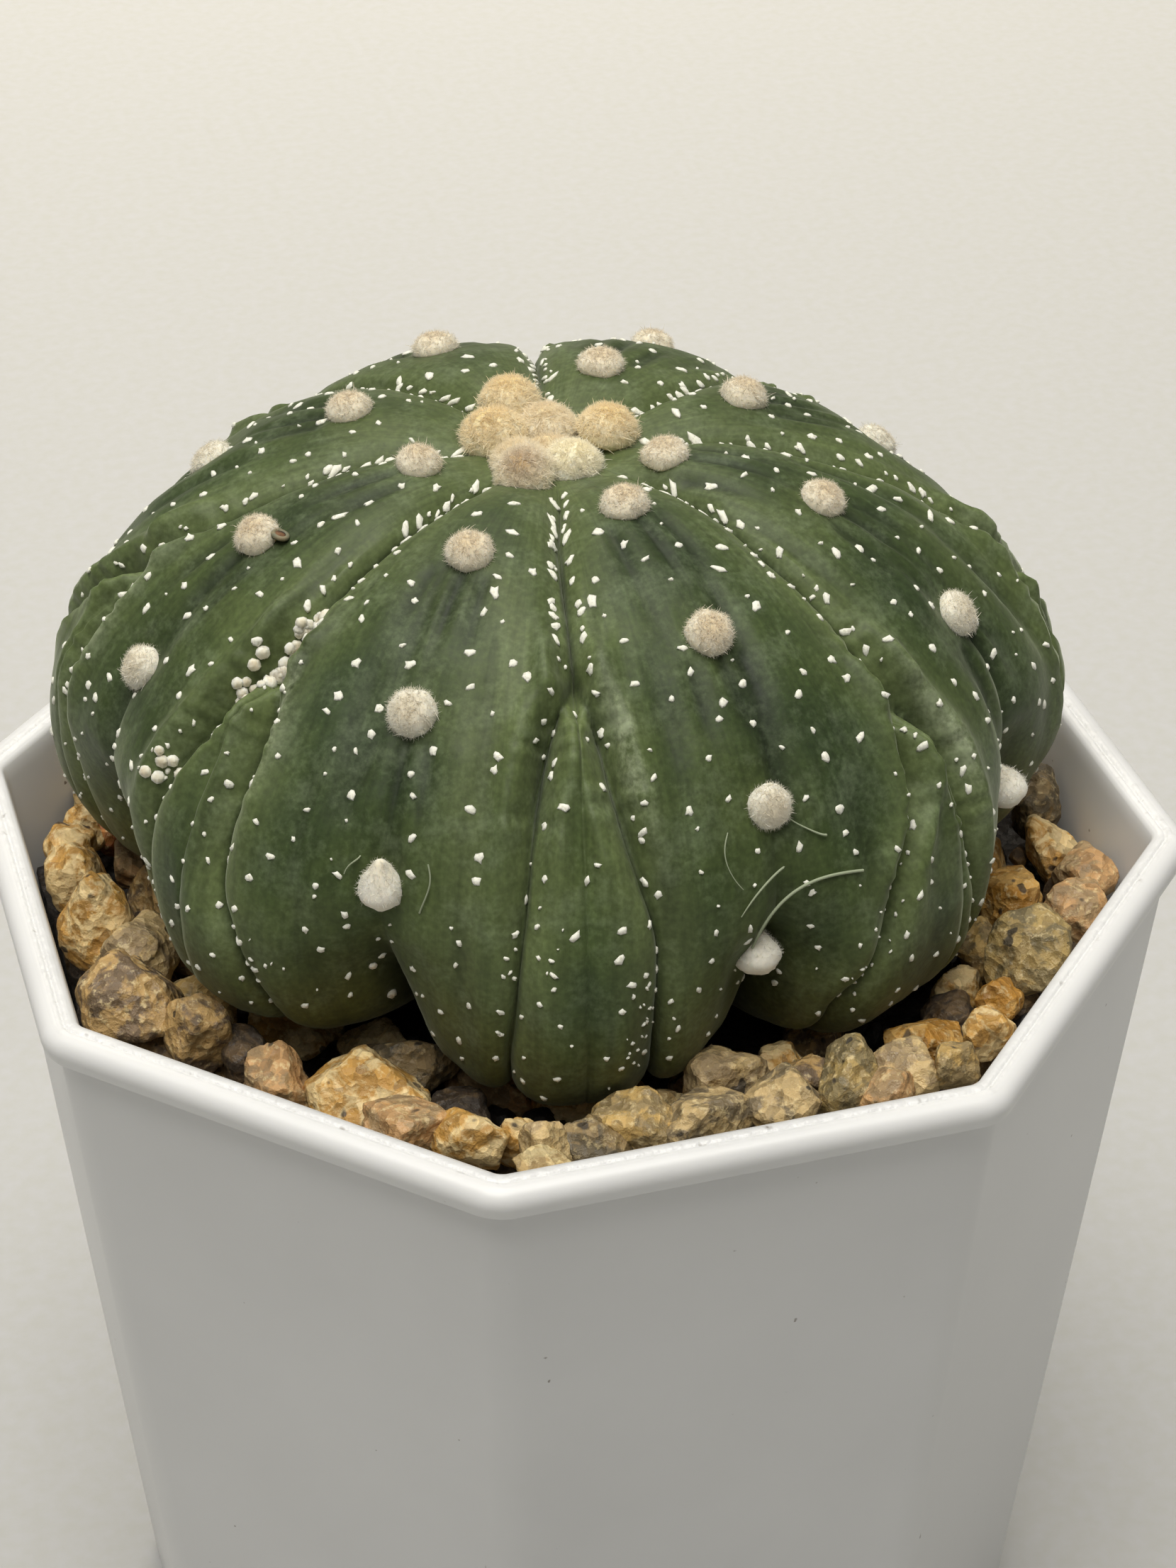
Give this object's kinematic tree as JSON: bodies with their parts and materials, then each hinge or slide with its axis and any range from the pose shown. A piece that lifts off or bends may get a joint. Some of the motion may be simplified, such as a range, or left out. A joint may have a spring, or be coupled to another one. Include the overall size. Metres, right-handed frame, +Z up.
{
  "type": "potted star cactus",
  "caption": "Squat, round cactus with folded lobes, woolly areoles and white flecks, standing in gravel in a white octagonal plastic pot.",
  "frame": {"origin": "middle of the pot's underside, on the surface that the pot stands on", "axes": "+Z up along the pot's axis; the pot's flat sides face X, Y and the diagonals, and the plant's front lobe faces -Y, turned 12 degrees towards -X"},
  "size_m": [0.08, 0.08, 0.1052],
  "materials": {
    "pot_plastic": "semi-gloss moulded polypropylene",
    "potting_mix": "dark damp potting mix",
    "gravel_stone": "crushed golden gravel, matte",
    "cactus_skin": "waxy green skin with white felt flecks",
    "crown_wool": "golden felt-like wool"
  },
  "bodies": {
    "root": {"pot": "pot_plastic", "potting_mix": "potting_mix", "gravel": "gravel_stone", "cactus_body": "cactus_skin", "crown_wool": "crown_wool"}
  },
  "joints": []
}
